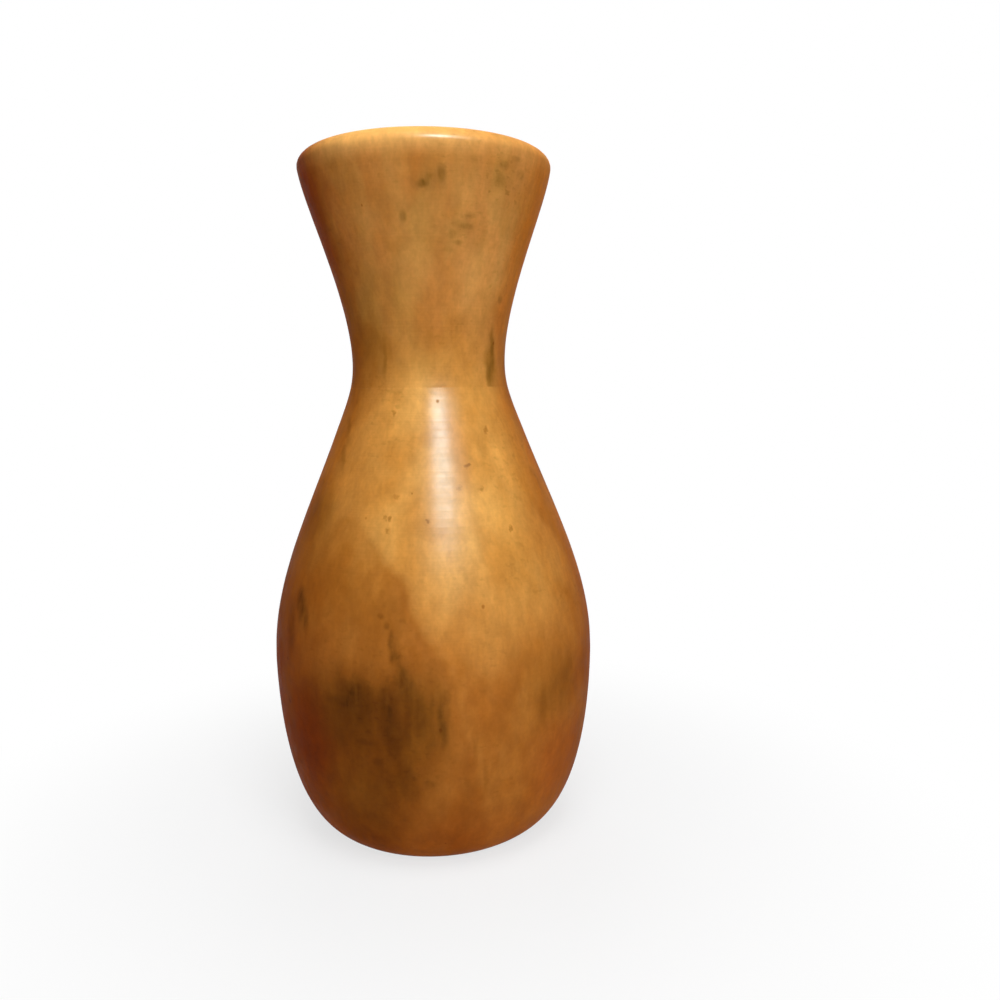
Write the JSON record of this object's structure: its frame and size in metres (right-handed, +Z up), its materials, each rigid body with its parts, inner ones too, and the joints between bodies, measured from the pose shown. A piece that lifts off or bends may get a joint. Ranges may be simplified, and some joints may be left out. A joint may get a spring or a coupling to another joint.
{
  "type": "wooden vase",
  "caption": "Turned wooden vase with a round-bellied bowl, a narrow waist, a flared neck with a rolled rim, and a glass liner that lifts out for water.",
  "frame": {"origin": "middle of the face that the vase rests on", "axes": "+Z up along the turned axis, towards the mouth; -Y is the side that the picture shows, and +X is to the right in it"},
  "size_m": [0.145, 0.145, 0.3],
  "materials": {
    "bowl_wood": "satin",
    "neck_wood": "satin",
    "plug_wood": "matte",
    "felt": "matte",
    "liner_glass": "clear"
  },
  "bodies": {
    "vase": {"bowl": "bowl_wood", "neck_collar": "neck_wood", "base_plug": "plug_wood", "felt_pad": "felt"},
    "liner": {"glass_liner": "liner_glass"}
  },
  "joints": [
    {"name": "liner_lift", "type": "slide", "parent": "vase", "child": "liner", "axis": [0, 0, 1], "range_m": [0, 0.29]}
  ]
}
